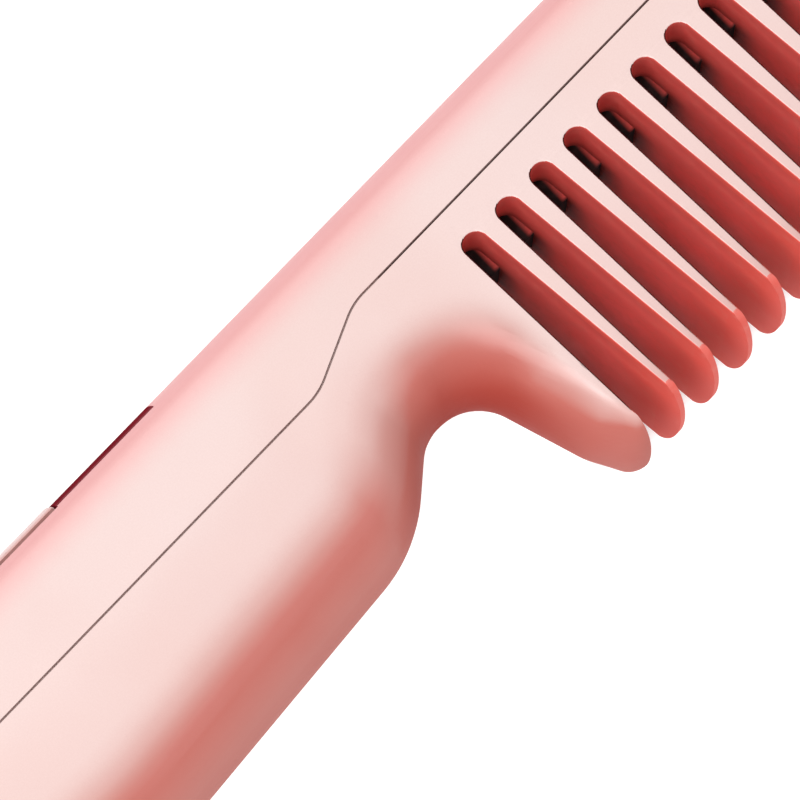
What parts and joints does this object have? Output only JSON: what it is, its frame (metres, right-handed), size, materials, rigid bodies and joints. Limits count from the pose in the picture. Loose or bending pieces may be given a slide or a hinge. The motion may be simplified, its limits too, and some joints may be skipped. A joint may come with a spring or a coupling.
{
  "type": "hot comb",
  "caption": "Cordless hot comb: two-part pearl pink housing with a finger notch, a coated heating comb between plastic guard fingers, a display window and push keys on the spine.",
  "frame": {"origin": "on the flat rear side face at the notch, level with the handle's parting line", "axes": "+X along the comb from the handle's tail to the nose, +Y towards the spine (teeth point to -Y), +Z through the thickness, from the rear side to the front side"},
  "size_m": [0.212, 0.0471, 0.02],
  "materials": {
    "housing_upper": "pearl pink satin-gloss lacquer",
    "housing_lower": "pearl pink satin-gloss lacquer",
    "comb_coating": "deep red ceramic coating on aluminium",
    "heater_black": "black anodised",
    "ceramic_element": "sintered ceramic heating element",
    "spring_steel": "bent steel sheet",
    "mica": "mica sheet",
    "screw_steel": "zinc plated",
    "sensor_black": "epoxy bead",
    "fuse_body": "metal can",
    "lead_silicone": "silicone covered wire",
    "cell_pouch": "laminated pouch",
    "foam": "foam pad",
    "board_green": "solder mask",
    "chip_black": "moulded package",
    "lead_red": "wire insulation",
    "switch_metal": "stamped steel",
    "display_body": "display module",
    "window_dark": "dark red glossy window",
    "frame_plastic": "moulded guide frame",
    "key_pink": "pearl pink key",
    "socket_metal": "stainless shell"
  },
  "bodies": {
    "housing": {"top_shell": "housing_upper", "bottom_shell": "housing_lower", "heated_comb": "comb_coating", "heater_bar": "heater_black", "ptc_heaters": "ceramic_element", "heater_clamp": "spring_steel", "mica_sheet": "mica", "comb_screws": "screw_steel", "thermistor": "sensor_black", "thermal_fuse": "fuse_body", "heater_leads": "lead_silicone", "battery_cell": "cell_pouch", "battery_pads": "foam", "protection_board": "board_green", "battery_leads": "lead_red", "main_board": "board_green", "board_chips": "chip_black", "boost_coil": "chip_black", "tact_switches": "switch_metal", "board_screws": "screw_steel", "display_module": "display_body", "display_window": "window_dark", "key_frame": "frame_plastic", "charge_board": "board_green", "charge_socket": "socket_metal", "charge_leads": "lead_red", "housing_screw": "screw_steel"},
    "plus_key_cap": {"plus_key": "key_pink"},
    "minus_key_cap": {"minus_key": "key_pink"},
    "power_key_cap": {"power_key": "key_pink"}
  },
  "joints": [
    {"name": "plus_press", "type": "slide", "parent": "housing", "child": "plus_key_cap", "axis": [0, -1, 0], "range_m": [0, 0.0005], "stiffness_N_per_m": 1200},
    {"name": "minus_press", "type": "slide", "parent": "housing", "child": "minus_key_cap", "axis": [0, -1, 0], "range_m": [0, 0.0005], "stiffness_N_per_m": 1200},
    {"name": "power_press", "type": "slide", "parent": "housing", "child": "power_key_cap", "axis": [0, -1, 0], "range_m": [0, 0.0005], "stiffness_N_per_m": 1200}
  ]
}
